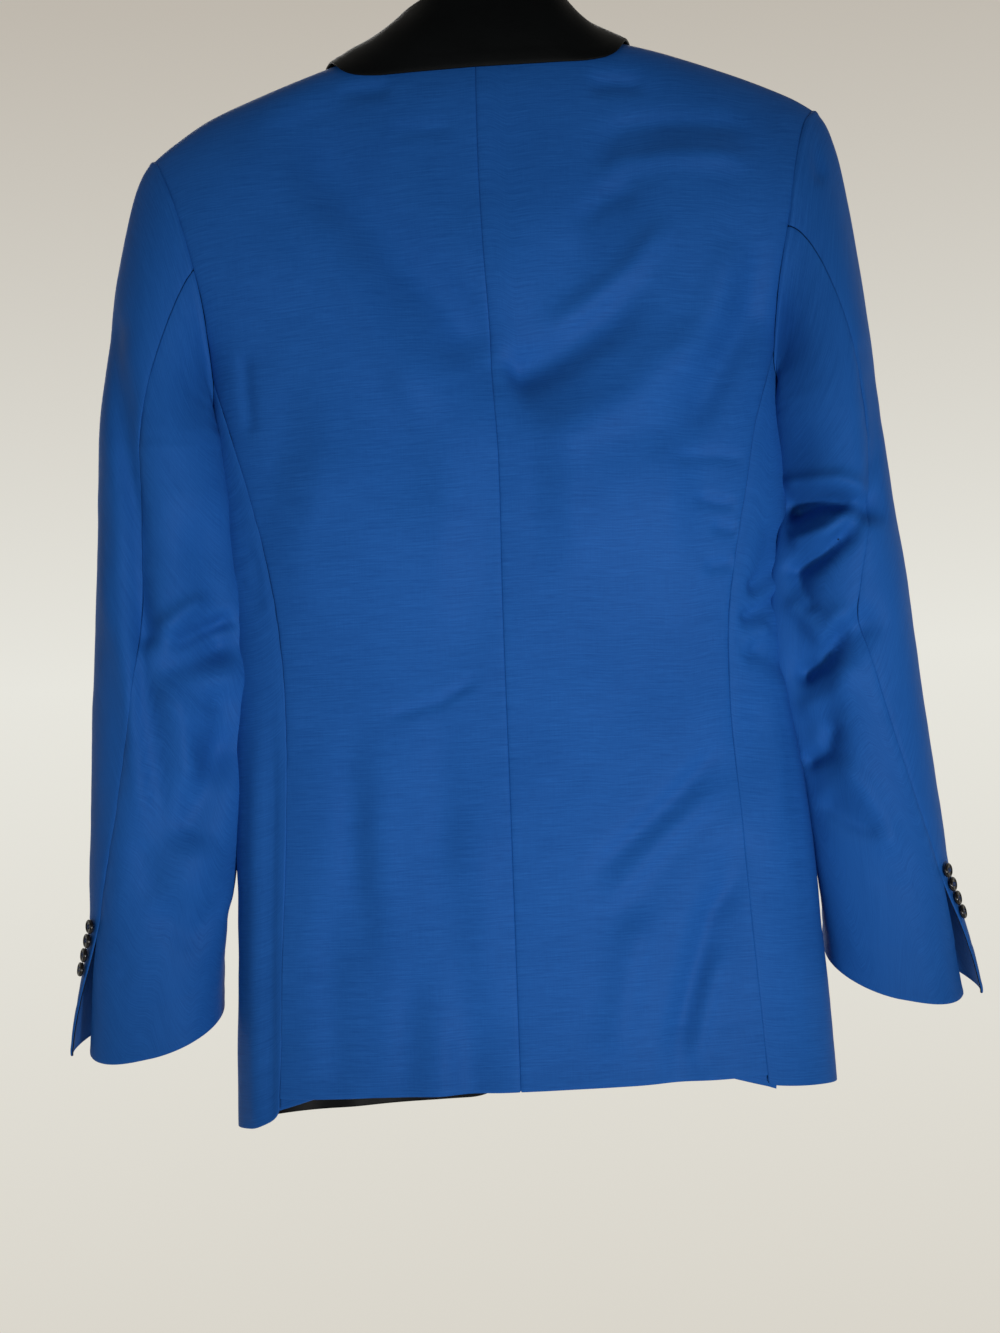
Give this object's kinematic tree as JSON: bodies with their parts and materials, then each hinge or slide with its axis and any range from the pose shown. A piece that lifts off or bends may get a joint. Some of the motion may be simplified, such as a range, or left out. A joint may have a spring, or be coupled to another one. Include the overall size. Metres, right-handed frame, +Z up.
{
  "type": "tuxedo jacket on a hanger",
  "caption": "Blue single-breasted tuxedo jacket with a black satin shawl collar, side vents and buttoned cuffs, hanging open at neck, cuffs and hem on a plain hanger.",
  "frame": {"origin": "inside top of the hanger's hook, where a rail or nail carries it", "axes": "+Z up, -Y the wearer's front, +X the wearer's left"},
  "size_m": [0.6676, 0.1333, 0.863],
  "materials": {
    "cloth": "blue worsted with fine slubs and a soft sheen",
    "satin": "black satin",
    "horn": "polished black",
    "wood": "clear varnish",
    "steel": "polished wire"
  },
  "bodies": {
    "root": {"back_left": "cloth", "side_left": "cloth", "front_left": "cloth", "sleeve_upper_left": "cloth", "sleeve_under_left": "cloth", "facing_left": "satin", "hip_welt_left": "satin", "cuff_button_left_1": "horn", "cuff_button_left_2": "horn", "cuff_button_left_3": "horn", "cuff_button_left_4": "horn", "back_right": "cloth", "side_right": "cloth", "front_right": "cloth", "sleeve_upper_right": "cloth", "sleeve_under_right": "cloth", "facing_right": "satin", "hip_welt_right": "satin", "cuff_button_right_1": "horn", "cuff_button_right_2": "horn", "cuff_button_right_3": "horn", "cuff_button_right_4": "horn", "breast_welt_left": "satin", "collar": "satin", "front_button": "satin", "hanger_bar": "wood", "hanger_hook": "steel"}
  },
  "joints": []
}
